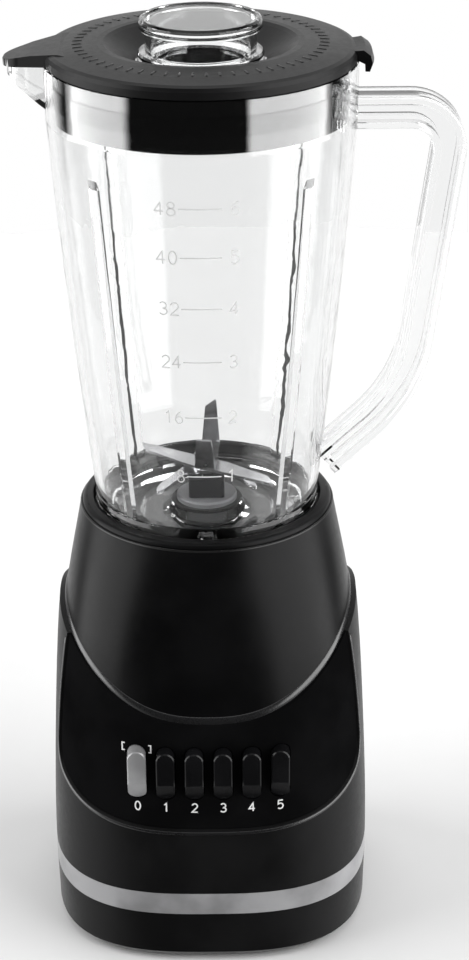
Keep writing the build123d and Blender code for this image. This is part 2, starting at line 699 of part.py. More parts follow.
with BuildPart() as blade_lock_nut:
    with BuildSketch(Plane.XY.offset(184.2)):
        RegularPolygon(14.0, 6)
        Circle(9.9, mode=Mode.SUBTRACT)
    extrude(amount=JAR_UNDER_Z - 184.2)
finish(blade_lock_nut.part, "blade_lock_nut")

# ---------------------------------------------------------------- blade unit, turning parts
BLADE_T = 1.3
LOWER_Z = HUB_TOP + LIP
SPACER_Z = LOWER_Z + BLADE_T
SIDE_Z = SPACER_Z + 2.0
UPRIGHT_Z = SIDE_Z + BLADE_T
NUT_Z = UPRIGHT_Z + BLADE_T
LOWER_AZIMUTH = 6.0
SIDE_AZIMUTH = -31.0
UPRIGHT_AZIMUTH = 82.0


def blade_strip(path, width, azimuth):
    """A flat strip of blade steel bent along a path of radius and height, across an azimuth."""
    with BuildSketch(upright(azimuth)) as strip:
        with BuildLine() as middle:
            Polyline(*path)
        trace(middle.line, BLADE_T)
    extrude(strip.sketch, amount=width / 2, both=True)


def blade_outline(azimuth, points, direction):
    """Cuts the active blade to an outline of points seen along a direction of view."""
    turn = math.radians(azimuth)
    if direction == "top":
        view = Plane(origin=(0, 0, 190), x_dir=(math.cos(turn), math.sin(turn), 0), z_dir=(0, 0, 1))
    else:
        view = Plane(
            origin=(0, 0, 0),
            x_dir=(math.sin(turn), -math.cos(turn), 0),
            z_dir=(-math.cos(turn), -math.sin(turn), 0),
        )
    with BuildSketch(view) as outline:
        Polygon(*points, align=None)
    extrude(outline.sketch, amount=60, both=True, mode=Mode.INTERSECT)


with BuildPart() as blade_shaft:
    disc(AXLE_R, 180.0, NUT_Z + 2.0)
    chamfer(blade_shaft.edges().filter_by(GeomType.CIRCLE), 0.4)
finish(blade_shaft.part, "blade_shaft")

with BuildPart() as blade_hub:
    slab(-7.9, 7.9, -7.9, 7.9, JAR_BOSS_Z + 3.8, HUB_TOP, corner=1.5)
    drill(AXLE_R, JAR_BOSS_Z + 3.8, HUB_TOP)
finish(blade_hub.part, "blade_hub")

with BuildPart() as lower_blade:
    path = ((-23.0, 203.0), (-10.0, LOWER_Z + BLADE_T / 2), (10.0, LOWER_Z + BLADE_T / 2), (23.0, 203.0))
    blade_strip(path, 9.0, LOWER_AZIMUTH)
    with BuildSketch(Plane.XY.offset(195)):
        SlotOverall(45.0, 8.4, rotation=LOWER_AZIMUTH)
    extrude(amount=30, mode=Mode.INTERSECT)
    drill(AXLE_R, 200, 220)
finish(lower_blade.part, "lower_blade")

with BuildPart() as blade_spacer:
    disc(6.2, SPACER_Z, SIDE_Z)
    chamfer(blade_spacer.faces().sort_by(Axis.Z)[0].edges(), 0.7)
    drill(AXLE_R, SPACER_Z, SIDE_Z)
finish(blade_spacer.part, "blade_spacer")

with BuildPart() as side_blade:
    mid = SIDE_Z + BLADE_T / 2
    blade_strip(((-36.0, mid + 1.5), (-9.0, mid), (9.0, mid), (36.0, mid - 1.5)), 12.0, SIDE_AZIMUTH)
    arm = [(9.0, 5.0), (29.0, 3.6), (35.5, -2.0), (9.0, -4.8)]
    far = [(-x, -y) for x, y in arm]
    blade_outline(SIDE_AZIMUTH, arm + [(0, -5.6)] + far + [(0, 5.6)], "top")
    drill(AXLE_R, 200, 230)
finish(side_blade.part, "side_blade")

with BuildPart() as upright_blade:
    mid = UPRIGHT_Z + BLADE_T / 2
    path = ((-7.6, 230.4), (-5.6, mid), (5.4, mid), (13.0, mid + 3.6), (15.6, 240.5))
    blade_strip(path, 11.0, UPRIGHT_AZIMUTH)
    blade_outline(
        UPRIGHT_AZIMUTH,
        [(-4.6, 205), (-3.9, 220), (-2.5, 237), (1.6, 240.2), (2.4, 240.0), (4.2, 221), (4.6, 205)],
        "side",
    )
    drill(AXLE_R, 200, 230)
finish(upright_blade.part, "upright_blade")

with BuildPart() as blade_cap_nut:
    with BuildSketch(Plane.XY.offset(NUT_Z)):
        RegularPolygon(5.2, 6)
    extrude(amount=3.6)
    drill(AXLE_R, NUT_Z, NUT_Z + 2.1)
finish(blade_cap_nut.part, "blade_cap_nut")

with BuildPart() as jar_coupling:
    disc(13.0, COUPLING_LOW + 2.6, 183.6)
    with BuildSketch(Plane.XY.offset(COUPLING_LOW + 2.6)):
        star(6.4 + AIR, 1.7 + AIR)
    extrude(amount=COUPLING_HIGH - COUPLING_LOW - 2.0, mode=Mode.SUBTRACT)
    drill(AXLE_R, 180.0, 183.6)
finish(jar_coupling.part, "jar_coupling")

# ---------------------------------------------------------------- lid, seal and measuring cap
with BuildPart() as tongue:
    with BuildSketch(Plane.XY.offset(390)):
        with BuildLine():
            Polyline((-45, 26), (-60, 16.5), (-75, 9.4))
            ThreePointArc((-75, 9.4), (-TONGUE_TIP, 0), (-75, -9.4))
            Polyline((-75, -9.4), (-60, -16.5), (-45, -26), (-45, 26))
        make_face()
    extrude(amount=20)
    with BuildSketch(Plane.XZ):
        with BuildLine():
            Polyline((-45, 405.0), (-58, 405.9), (-70, 403.9), (-81.4, 401.0), (-TONGUE_TIP, 400.4))
            Polyline((-TONGUE_TIP, 400.4), (-TONGUE_TIP, 397.9), (-62, 400.0), (-45, 400.0), (-45, 405.0))
        make_face()
    extrude(amount=40, both=True, mode=Mode.INTERSECT)

with BuildPart() as lid:
    turned(
        [
            (LID_R, LID_Z),
            (LID_R, 402.9),
            (64.2, 404.5),
            (62.4, 405.2),
            (54.0, 406.2),
            (43.0, 407.0),
            (40.4, 406.9),
            (38.6, 406.0),
            (27.2, 399.2),
            (LID_HOLE_R, 399.2),
            (LID_HOLE_R, 396.4),
            (28.4, 396.4),
            (39.6, 403.2),
            (42.0, 404.2),
            (SKIRT_R - 2, 403.0),
            (SKIRT_R - 2, SKIRT_Z),
            (SKIRT_R, SKIRT_Z),
            (SKIRT_R, LID_Z),
        ]
    )
    add(tongue.part)
    disc(SKIRT_R - 2, 390, 402.6, mode=Mode.SUBTRACT, bore=45.0)
    with BuildSketch(upright(-TAB_ARC / 2)):
        Polygon(
            (63.0, 404.6), (67.7, 405.1), (70.6, 403.0), (71.5, 399.6), (70.3, 396.3),
            (68.4, 396.3), (68.2, 399.4), (66.0, 400.4), (63.0, 400.4), align=None,
        )
    revolve(axis=Axis.Z, revolution_arc=TAB_ARC)
finish(lid.part, "lid")

with BuildPart() as lid_seal:
    disc(SKIRT_R + 0.55, 384.0, 392.0, SKIRT_R)
finish(lid_seal.part, "lid_seal")

with BuildPart() as measuring_cap:
    turned(
        [
            (0, 416.4), (22.4, 416.4), (22.9, CAP_TOP), (24.2, CAP_TOP), (25.2, 416.2),
            (CAP_R, 415.2), (CAP_R, 413.0), (25.0, 412.2), (23.2, 412.0), (23.2, 403.2),
            (25.6, 403.0), (26.3, 402.2), (26.3, 399.6), (20.6, 399.6), (19.6, CAP_FLOOR),
            (17.8, CAP_FLOOR), (18.8, 399.0), (20.8, 403.0), (20.8, 413.4), (0, 413.4),
        ]
    )
finish(measuring_cap.part, "measuring_cap")

# ---------------------------------------------------------------- export
os.makedirs("parts", exist_ok=True)
for name, part in made.items():
    export_step(part, f"parts/{name}.step")
print(len(made), "parts")
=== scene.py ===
import bpy
import bmesh
import math
from mathutils import Matrix, Vector
from mathutils.bvhtree import BVHTree


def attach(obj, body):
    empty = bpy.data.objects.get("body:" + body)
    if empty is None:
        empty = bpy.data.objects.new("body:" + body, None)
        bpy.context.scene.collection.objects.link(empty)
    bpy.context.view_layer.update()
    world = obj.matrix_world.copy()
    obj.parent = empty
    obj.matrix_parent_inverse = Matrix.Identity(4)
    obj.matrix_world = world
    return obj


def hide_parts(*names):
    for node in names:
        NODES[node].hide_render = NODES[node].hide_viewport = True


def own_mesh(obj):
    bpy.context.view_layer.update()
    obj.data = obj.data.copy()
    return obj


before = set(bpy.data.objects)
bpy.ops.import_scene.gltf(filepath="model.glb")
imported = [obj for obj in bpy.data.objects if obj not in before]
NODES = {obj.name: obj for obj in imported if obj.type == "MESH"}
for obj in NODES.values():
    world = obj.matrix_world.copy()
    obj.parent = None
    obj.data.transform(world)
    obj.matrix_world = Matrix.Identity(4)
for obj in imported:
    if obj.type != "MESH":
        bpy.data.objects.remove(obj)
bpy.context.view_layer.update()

# Countertop blender. The scene is in metres and in the CAD frame: +Z up, control panel towards -Y, handle
# towards +X and spout towards -X. Sizes of added pieces are in mm, and MM turns them into metres.
MM = 0.001


# ---------------------------------------------------------------- camera
CAMERA_AT = (0.0124, -0.999, 0.6694)
CAMERA_DOWN = 24.83  # degrees below the horizon
CAMERA_ROLL = -0.0083  # radians
CAMERA_LENS = 92.6  # mm, for a sensor 36 mm along the picture's longer side
SENSOR_WIDTH = 36.0
CLIP_NEAR = 0.01
CLIP_FAR = 50.0


def make_camera():
    data = bpy.data.cameras.new("camera")
    data.lens = CAMERA_LENS
    data.sensor_width = SENSOR_WIDTH
    data.clip_start = CLIP_NEAR
    data.clip_end = CLIP_FAR
    camera = bpy.data.objects.new("camera", data)
    tilt = Matrix.Rotation(math.radians(90 - CAMERA_DOWN), 4, "X")
    roll = Matrix.Rotation(CAMERA_ROLL, 4, "Z")
    camera.matrix_world = Matrix.Translation(CAMERA_AT) @ tilt @ roll
    bpy.context.scene.collection.objects.link(camera)
    bpy.context.scene.camera = camera


# ---------------------------------------------------------------- shader graphs
# A Mix node has sockets for every kind of value at once. These are the ones for numbers and for colours.
MIX_NUMBERS = (2, 3)
MIX_COLOURS = (6, 7)
MIX_COLOUR_OUT = 2


class Graph:
    """Adds nodes to a material or world and joins them, so that a material reads as a list of steps."""

    def __init__(self, tree):
        self.tree = tree
        tree.nodes.clear()

    def node(self, kind, inputs=None, **settings):
        made = self.tree.nodes.new(kind)
        for key, value in settings.items():
            setattr(made, key, value)
        for key, value in (inputs or {}).items():
            if isinstance(value, bpy.types.NodeSocket):
                self.tree.links.new(value, made.inputs[key])
            else:
                made.inputs[key].default_value = value
        return made

    def math(self, operation, a, b=0.0, clamp=False):
        made = self.node("ShaderNodeMath", {0: a, 1: b}, operation=operation, use_clamp=clamp)
        return made.outputs[0]

    def span(self, value, low, high, to_low=0.0, to_high=1.0):
        """Takes low..high to to_low..to_high with soft ends, and holds the end values outside."""
        made = self.node(
            "ShaderNodeMapRange",
            {"Value": value, "From Min": low, "From Max": high, "To Min": to_low, "To Max": to_high},
            interpolation_type="SMOOTHSTEP",
        )
        return made.outputs["Result"]

    def window(self, value, rise, fall):
        """1 between two soft edges and 0 outside them. Each edge is a pair of values that it lies between."""
        return self.math("MULTIPLY", self.span(value, *rise), self.span(value, *fall, 1.0, 0.0))

    def noise(self, scale, detail, stretch=(1, 1, 1), seed=0.0):
        place = self.node("ShaderNodeTexCoord").outputs["Object"]
        moved = self.node("ShaderNodeMapping", {"Vector": place, "Scale": stretch, "Location": (seed,) * 3})
        made = self.node(
            "ShaderNodeTexNoise", {"Vector": moved.outputs[0], "Scale": scale, "Detail": detail}
        )
        return made.outputs["Fac"]

    def mix_numbers(self, factor, a, b):
        inputs = {"Factor": factor, **dict(zip(MIX_NUMBERS, (a, b)))}
        return self.node("ShaderNodeMix", inputs, data_type="FLOAT").outputs[0]

    def mix_colours(self, factor, a, b):
        made = self.node("ShaderNodeMix", {"Factor": factor}, data_type="RGBA")
        for socket, colour in zip(MIX_COLOURS, (a, b)):
            made.inputs[socket].default_value = colour
        return made.outputs[MIX_COLOUR_OUT]

    def finish(self, kind, shader):
        out = self.node(kind)
        self.tree.links.new(shader.outputs[0], out.inputs[0])


# ---------------------------------------------------------------- materials
CLOUD = (28.0, 4.0)  # noise scale and detail of the broad unevenness in colour and gloss
SPECKLE = (420.0, 2.0)  # of the fine unevenness in gloss
GRAIN_SCALE = 2600.0  # of the moulded grain
GRAIN_DETAIL = 2.0
GRAIN_HEIGHT = 0.0001  # metres
SPECKLE_SEED = 3.0
GRAIN_SEED = 7.0
CLOUD_GLOSS = 0.03  # how far each unevenness moves the roughness, either way
SPECKLE_GLOSS = 0.02
NOISE_SPAN = (0.3, 0.7)  # most of a noise's values lie between these
TINT_SPAN = (0.35, 0.65)

PLASTIC_IOR = 1.4
PLASTIC_SPECULAR = 0.4
FLOW = (14.0, 2.0)  # noise scale and detail of the moulding's flow lines
FLOW_STRETCH = (1, 1, 0.3)  # drawn out upwards
FLOW_HEIGHT = 0.002  # metres
FLOW_STRENGTH = 0.004
HAZE = (160.0, 2.0)  # of the uneven haze
HAZE_SEED = 5.0
HAZE_GLOSS = 0.02


def grey(level):
    return (level, level, level, 1.0)


def moulded(name, colour, roughness, grain=0.0, grain_scale=GRAIN_SCALE, specular=0.5, coat=0.0,
            coat_rough=0.1, wear=0.25, metallic=0.0):
    """Moulded, painted or metal surface: slightly uneven colour and gloss, and a fine grain if asked."""
    made = bpy.data.materials.new(name)
    made.use_nodes = True
    g = Graph(made.node_tree)
    cloud = g.noise(*CLOUD)
    speckle = g.noise(*SPECKLE, seed=SPECKLE_SEED)
    low = tuple(c * (1 - wear) for c in colour) + (1.0,)
    high = tuple(min(1.0, c * (1 + wear)) for c in colour) + (1.0,)
    tint = g.mix_colours(g.span(cloud, *TINT_SPAN), low, high)
    broad = g.span(cloud, *NOISE_SPAN, -CLOUD_GLOSS, CLOUD_GLOSS)
    close = g.span(speckle, *NOISE_SPAN, -SPECKLE_GLOSS, SPECKLE_GLOSS)
    gloss = g.math("ADD", g.math("ADD", broad, close), roughness, clamp=True)
    shader = g.node(
        "ShaderNodeBsdfPrincipled",
        {
            "Base Color": tint,
            "Roughness": gloss,
            "Metallic": metallic,
            "Specular IOR Level": specular,
            "Coat Weight": coat,
            "Coat Roughness": coat_rough,
        },
    )
    if grain:
        pebble = g.noise(grain_scale, GRAIN_DETAIL, seed=GRAIN_SEED)
        bump = g.node("ShaderNodeBump", {"Height": pebble, "Strength": grain, "Distance": GRAIN_HEIGHT})
        g.tree.links.new(bump.outputs[0], shader.inputs["Normal"])
    g.finish("ShaderNodeOutputMaterial", shader)
    return made


def clear(name, colour):
    """Clear moulded plastic: smooth, with the faint flow lines of the moulding."""
    made = bpy.data.materials.new(name)
    made.use_nodes = True
    g = Graph(made.node_tree)
    flow = g.noise(*FLOW, stretch=FLOW_STRETCH)
    haze = g.noise(*HAZE, seed=HAZE_SEED)
    bump = g.node("ShaderNodeBump", {"Height": flow, "Strength": FLOW_STRENGTH, "Distance": FLOW_HEIGHT})
    shader = g.node(
        "ShaderNodeBsdfPrincipled",
        {
            "Base Color": colour,
            "Roughness": g.span(haze, *NOISE_SPAN, 0.0, HAZE_GLOSS),
            "IOR": PLASTIC_IOR,
            "Specular IOR Level": PLASTIC_SPECULAR,
            "Transmission Weight": 1.0,
            "Normal": bump.outputs[0],
        },
    )
    g.finish("ShaderNodeOutputMaterial", shader)
    return made


def dress(material, *nodes):
    """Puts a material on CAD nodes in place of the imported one."""
    for name in nodes:
        mesh = NODES[name].data
        mesh.materials.clear()
        mesh.materials.append(material)


# ---------------------------------------------------------------- studio
# The light is a picture of a studio, by direction and in degrees. The turn is 0 towards the photograph's
# camera, at -Y, and 90 towards +X. The height is above the horizon. Each pair is a soft edge.
LEFT_BOX = ((-118, -112), (-62, -54))
RIGHT_BOX = ((33, 39), (106, 112))
BOX_HEIGHT = ((-21, -18), (40, 60))
BEHIND = (125, 140)
BELOW = (-24, -18)
BELOW_BESIDE = (30, 60)
ABOVE = (45, 70)
BOX_LIGHT = 4.3
BEHIND_LIGHT = 1.0
BELOW_LIGHT = 0.85
ABOVE_LIGHT = 1.1
ROOM_LIGHT = 0.03  # added everywhere, and all there is in front
MOST_BOUNCES = 1.5  # fewer than two, without the passes through clear parts
FLOOR_R = 0.95
FLOOR_SIDES = 96
FLOOR_WHITE = 0.69


def make_world():
    """Two tall soft boxes at the sides, a pale room behind, above and below them, and a dark front.

    The camera sees plain white instead, directly and through clear parts. So the studio lights the object
    and shows in its reflections, and nowhere else.
    """
    world = bpy.data.worlds.new("studio")
    bpy.context.scene.world = world
    world.use_nodes = True
    g = Graph(world.node_tree)
    toward = g.node("ShaderNodeSeparateXYZ", {0: g.node("ShaderNodeTexCoord").outputs["Generated"]})
    x, y, z = toward.outputs
    turn = g.math("MULTIPLY", g.math("ARCTAN2", x, g.math("MULTIPLY", y, -1.0)), 180 / math.pi)
    height = g.math("MULTIPLY", g.math("ARCSINE", z), 180 / math.pi)
    side = g.math("ABSOLUTE", turn)
    both = g.math("ADD", g.window(turn, *LEFT_BOX), g.window(turn, *RIGHT_BOX))
    boxes = g.math("MULTIPLY", g.math("MULTIPLY", both, g.window(height, *BOX_HEIGHT)), BOX_LIGHT)
    behind = g.math("MULTIPLY", g.span(side, *BEHIND), BEHIND_LIGHT)
    low = g.math("MULTIPLY", g.span(height, *BELOW, 1.0, 0.0), g.span(side, *BELOW_BESIDE))
    below = g.math("MULTIPLY", low, BELOW_LIGHT)
    above = g.math("MULTIPLY", g.span(height, *ABOVE), ABOVE_LIGHT)
    lit = g.math("ADD", boxes, g.math("MAXIMUM", behind, below))
    lit = g.math("ADD", lit, g.math("ADD", above, ROOM_LIGHT))
    path = g.node("ShaderNodeLightPath").outputs
    bounces = g.math("SUBTRACT", path["Ray Depth"], path["Transmission Depth"])
    straight = g.math("LESS_THAN", bounces, MOST_BOUNCES)
    through = g.math("MULTIPLY", path["Is Transmission Ray"], straight)
    seen = g.math("MAXIMUM", path["Is Camera Ray"], through)
    strength = g.mix_numbers(seen, lit, 1.0)
    sky = g.node("ShaderNodeBackground", {"Color": grey(1.0), "Strength": strength})
    g.finish("ShaderNodeOutputWorld", sky)


def make_floor():
    """A round pale floor, wide enough to fill the photograph's view. Reflections don't show it."""
    turns = [math.tau * i / FLOOR_SIDES for i in range(FLOOR_SIDES)]
    corners = [(FLOOR_R * math.cos(turn), FLOOR_R * math.sin(turn), 0.0) for turn in turns]
    mesh = bpy.data.meshes.new("floor")
    mesh.from_pydata(corners, [], [tuple(range(FLOOR_SIDES))])
    mesh.materials.append(moulded("floor_white", (FLOOR_WHITE,) * 3, 0.9, specular=0.0, wear=0.005))
    floor = bpy.data.objects.new("floor", mesh)
    bpy.context.scene.collection.objects.link(floor)
    floor.visible_glossy = False


# ---------------------------------------------------------------- materials of the CAD nodes
LID_GLOSS_TOP = 399.4  # mm: below this the lid is glossy, at its bowl's floor, its skirt and under its tabs


def dress_base():
    """Housing, controls, feet and screws."""
    dress(moulded("cone_black", (0.0028, 0.0028, 0.003), 0.33, grain=0.2, specular=0.1), "upper_housing")
    dress(moulded("housing_black", (0.0055, 0.0055, 0.0057), 0.4, grain=0.25, specular=0.12),
          "bottom_cover", "lower_housing")
    dress(moulded("panel_black", (0.004, 0.004, 0.0042), 0.5, grain=0.1, specular=0.0), "control_panel")
    dress(moulded("band_silver", (0.24, 0.24, 0.245), 0.4, grain=0.2, grain_scale=5200.0, specular=0.4),
          "trim_band")
    dress(moulded("button_silver", (0.32, 0.32, 0.325), 0.34, grain=0.1, specular=0.4, metallic=0.35),
          "off_button")
    dress(moulded("button_black", (0.005, 0.005, 0.0055), 0.2, specular=0.22),
          *[f"speed_button_{i}" for i in range(1, BUTTONS)])
    dress(moulded("foot_rubber", (0.02, 0.02, 0.02), 0.8, grain=0.4), "rubber_feet", "motor_mounts")
    dress(moulded("gland_rubber", (0.012, 0.012, 0.012), 0.6, grain=0.3), "cord_gland")
    dress(moulded("screw_steel", (0.5, 0.5, 0.52), 0.3, metallic=1.0),
          "housing_screws", "panel_screws", "motor_screws", "motor_mount_screws")
    dress(moulded("inner_plastic", (0.06, 0.06, 0.065), 0.5, grain=0.3),
          "switch_frame", "brush_holders", "latch_bar")
    dress(moulded("contact_brass", (0.72, 0.5, 0.2), 0.3, metallic=1.0), "switch_contacts")


def dress_motor():
    """Motor, shafts, couplings and springs."""
    spring_steel = moulded("spring_steel", (0.6, 0.6, 0.62), 0.25, metallic=1.0)
    dress(spring_steel, "brush_springs")
    button_springs(spring_steel)
    dress(moulded("motor_iron", (0.12, 0.12, 0.13), 0.5, metallic=0.8), "stator_core", "armature_core")
    dress(moulded("winding_copper", (0.62, 0.25, 0.1), 0.3, metallic=0.9),
          "field_coils", "armature_windings", "commutator")
    dress(moulded("bracket_aluminium", (0.55, 0.56, 0.57), 0.45, metallic=1.0),
          "upper_motor_bracket", "lower_motor_bracket")
    dress(moulded("shaft_steel", (0.6, 0.6, 0.62), 0.2, metallic=1.0), "armature_shaft", "blade_shaft")
    dress(moulded("bush_bronze", (0.55, 0.38, 0.18), 0.4, metallic=1.0), "motor_bushings", "blade_bushings")
    dress(moulded("brush_carbon", (0.02, 0.02, 0.02), 0.7), "carbon_brushes")
    dress(moulded("fan_plastic", (0.1, 0.1, 0.11), 0.5), "cooling_fan")
    dress(moulded("coupling_plastic", (0.02, 0.02, 0.02), 0.45, grain=0.2),
          "drive_coupling", "jar_coupling")


def dress_jar():
    """Jar and blades, with their bearings and seals."""
    dress(moulded("seal_rubber", (0.03, 0.03, 0.03), 0.55, grain=0.2), "jar_gasket", "shaft_slinger")
    dress(moulded("bearing_plastic", (0.02, 0.02, 0.022), 0.35, grain=0.15), "blade_lock_nut", "blade_hub")
    dress(moulded("bearing_pale", (0.3, 0.3, 0.31), 0.35, grain=0.15), "blade_bearing_housing")
    dress(moulded("blade_steel", (0.55, 0.55, 0.56), 0.24, metallic=1.0),
          "lower_blade", "blade_spacer", "side_blade", "upright_blade", "blade_cap_nut")
    dress(clear("jar_clear", (0.93, 0.933, 0.933, 1.0)), "jar")


def dress_lid():
    """Lid, its seal and the measuring cap."""
    dress(moulded("seal_black", (0.002, 0.002, 0.002), 0.05, specular=0.6, coat=1.0, coat_rough=0.02,
                  wear=0.05), "lid_seal")
    dress(clear("cap_clear", (0.98, 0.985, 0.985, 1.0)), "measuring_cap")
    dress(moulded("lid_black", (0.005, 0.005, 0.0052), 0.38, grain=0.2, specular=0.16), "lid")
    lid = NODES["lid"].data
    lid.materials.append(moulded("lid_gloss", (0.002, 0.002, 0.002), 0.02, specular=0.9, coat=1.0,
                                 coat_rough=0.01, wear=0.05))
    for face in lid.polygons:
        if face.center.z < LID_GLOSS_TOP * MM:
            face.material_index = 1


# ---------------------------------------------------------------- laying pieces on CAD surfaces
OUTSIDE = 0.2  # metres from the axis: where rays towards the base or the jar start
OVERHEAD = 0.5  # metres up: where rays down onto the lid start
TREES = {}


def surface(node, start, toward):
    """Where a ray from start, in metres, meets a CAD node, and the outward normal there."""
    if node not in TREES:
        source = NODES[node]
        corners = [source.matrix_world @ vertex.co for vertex in source.data.vertices]
        TREES[node] = BVHTree.FromPolygons(corners, [tuple(face.vertices) for face in source.data.polygons])
    toward = Vector(toward).normalized()
    at, normal, _, _ = TREES[node].ray_cast(Vector(start), toward)
    if at is None:
        raise ValueError(f"no surface of {node} from {tuple(start)}")
    return at, normal if normal.dot(toward) < 0 else -normal


def around(node, azimuth, z):
    """The outer surface of a node at an azimuth in degrees from +X and a height in mm."""
    c, s = math.cos(math.radians(azimuth)), math.sin(math.radians(azimuth))
    return surface(node, (OUTSIDE * c, OUTSIDE * s, z * MM), (-c, -s, 0))


def on_side(node, y, z):
    """The surface of a node seen from +X, at y and z in mm."""
    return surface(node, (OUTSIDE, y * MM, z * MM), (-1, 0, 0))


def mesh_object(name, corners, faces, material, body, smooth=True):
    """A piece with its faces turned outwards, riding a body."""
    mesh = bpy.data.meshes.new(name)
    mesh.from_pydata([tuple(c) for c in corners], [], faces)
    work = bmesh.new()
    work.from_mesh(mesh)
    bmesh.ops.recalc_face_normals(work, faces=work.faces)
    work.to_mesh(mesh)
    work.free()
    mesh.polygons.foreach_set("use_smooth", [smooth] * len(mesh.polygons))
    mesh.materials.append(material)
    made = bpy.data.objects.new(name, mesh)
    bpy.context.scene.collection.objects.link(made)
    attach(made, body)
    return made


def tube_faces(rings, points, closed=False):
    """Faces of a tube made of rings of points, which is either closed on itself or capped at both ends."""
    faces = []
    for i in range(rings if closed else rings - 1):
        here, there = i * points, (i + 1) % rings * points
        for k in range(points):
            n = (k + 1) % points
            faces.append((here + k, here + n, there + n, there + k))
    if not closed:
        faces.append(tuple(range(points)))
        faces.append(tuple((rings - 1) * points + k for k in range(points)))
    return faces


def bead(name, path, half, crown, material, body, sink=0.5, closed=True, ring=9):
    """A low rounded strip along (point, normal) pairs. half is half its width, crown its height, and sink how
    deep its underside lies in the surface, all in mm. ring counts the points across its crown."""
    corners = []
    count = len(path)
    for i, (at, normal) in enumerate(path):
        ahead = path[(i + 1) % count if closed else min(i + 1, count - 1)][0]
        behind = path[i - 1 if closed else max(i - 1, 0)][0]
        along = (ahead - behind).normalized()
        across = along.cross(normal).normalized()
        up = across.cross(along)
        for k in range(ring):
            turn = math.pi * k / (ring - 1)
            corners.append(at + across * (half * MM * math.cos(turn)) + up * (crown * MM * math.sin(turn)))
        corners.append(at - across * (half * MM) - up * (sink * MM))
        corners.append(at + across * (half * MM) - up * (sink * MM))
    return mesh_object(name, corners, tube_faces(count, ring + 2, closed), material, body)


# ---------------------------------------------------------------- edges of the base
SADDLE_R = 86.7  # the cone stops above an arch along X, of this radius round an axis at this height
SADDLE_Z = 68.5
SADDLE_TOP = 156.0  # where the search for the arch starts, a little above its top
SADDLE_STATIONS = 240
SADDLE_TRIES = 6
SADDLE_MISS = 1.3  # how far above the arch the cone's surface is looked for, clear of the gap
SADDLE_RISE = 0.5  # how far above the arch the bead lies

PANEL_EDGE_Y = -33.0  # the lower housing is cut away round the control panel: upright edges at the sides,
PANEL_EDGE_Z = 86.5  # rounded corners, and a lower edge that falls towards the front by so much for each mm
PANEL_CORNER = 14.0
PANEL_FALL = 0.45
PANEL_SIDE_Z = range(146, 104, -3)  # heights of the bead's points on an upright edge
PANEL_BEND_TOP = 105.5  # the corner's points begin below this
PANEL_BEND_STEPS = 12
PANEL_OUT = 1.0  # how far outside the cut edge the bead lies, at the sides and corners
PANEL_UNDER = 1.1  # and along the lower edge
PANEL_LOOK_UNDER = 0.1
PANEL_TRIES = 4
PANEL_SKIP = 1.5  # degrees from the corner's last point to the lower edge's first one
PANEL_STEP = 2.0
PANEL_LAST = -90.01  # azimuth of the middle of the front, and a little past it

CONE_TOP_R = 56.05
CONE_TOP_Z = 199.35
CONE_TOP_STATIONS = 200


def saddle_path():
    """The cone's lower edge, all round, a little above the arch that parts it from the lower housing."""
    path = []
    for i in range(SADDLE_STATIONS):
        azimuth = 360 * i / SADDLE_STATIONS
        z = SADDLE_TOP
        for _ in range(SADDLE_TRIES):
            at, _ = around("upper_housing", azimuth, z + SADDLE_MISS)
            z = SADDLE_Z + math.sqrt(SADDLE_R**2 - (at.y / MM) ** 2)
        path.append(around("upper_housing", azimuth, z + SADDLE_RISE))
    return path


def panel_path():
    """The lower housing's edge round the control panel, from its right shoulder round to its left one."""
    slope = math.atan(PANEL_FALL)
    middle_y = PANEL_EDGE_Y - PANEL_CORNER
    middle_z = PANEL_EDGE_Z + PANEL_CORNER * math.tan((math.pi / 2 - slope) / 2)
    path = [on_side("lower_housing", PANEL_EDGE_Y + PANEL_OUT, z) for z in PANEL_SIDE_Z]
    for i in range(PANEL_BEND_STEPS + 1):
        turn = -i / PANEL_BEND_STEPS * (math.pi / 2 - slope)
        y = middle_y + (PANEL_CORNER + PANEL_OUT) * math.cos(turn)
        z = middle_z + (PANEL_CORNER + PANEL_OUT) * math.sin(turn)
        if z < PANEL_BEND_TOP:
            path.append(on_side("lower_housing", y, z))
    last = path[-1][0]
    azimuth = math.degrees(math.atan2(last.y, last.x)) - PANEL_SKIP
    z = last.z / MM
    while azimuth > PANEL_LAST:
        for _ in range(PANEL_TRIES):
            at, _ = around("lower_housing", azimuth, z - PANEL_LOOK_UNDER)
            z = PANEL_EDGE_Z - PANEL_FALL * (PANEL_EDGE_Y - at.y / MM) - PANEL_UNDER
        path.append(around("lower_housing", azimuth, z))
        azimuth -= PANEL_STEP
    mirrored = [(Vector((-at.x, at.y, at.z)), Vector((-n.x, n.y, n.z))) for at, n in reversed(path[:-1])]
    return path + mirrored


def cone_top_path():
    """The rounded edge round the top of the cone."""
    path = []
    for i in range(CONE_TOP_STATIONS):
        azimuth = math.radians(360 * i / CONE_TOP_STATIONS)
        out = Vector((math.cos(azimuth), math.sin(azimuth), 0.0))
        at = out * (CONE_TOP_R * MM) + Vector((0, 0, CONE_TOP_Z * MM))
        path.append((at, (out + Vector((0, 0, 1))).normalized()))
    return path


def dress_edges():
    bevel = moulded("edge_bevel", (0.008, 0.008, 0.0085), 0.28, specular=0.75, wear=0.1)
    bead("cone_lower_edge", saddle_path(), 1.9, 0.6, bevel, "base")
    bead("panel_edge", panel_path(), 0.8, 0.4, bevel, "base", closed=False)
    satin = moulded("edge_satin", (0.006, 0.006, 0.006), 0.3, specular=0.4, wear=0.1)
    bead("cone_upper_edge", cone_top_path(), 0.5, 0.2, satin, "base", sink=0.4)


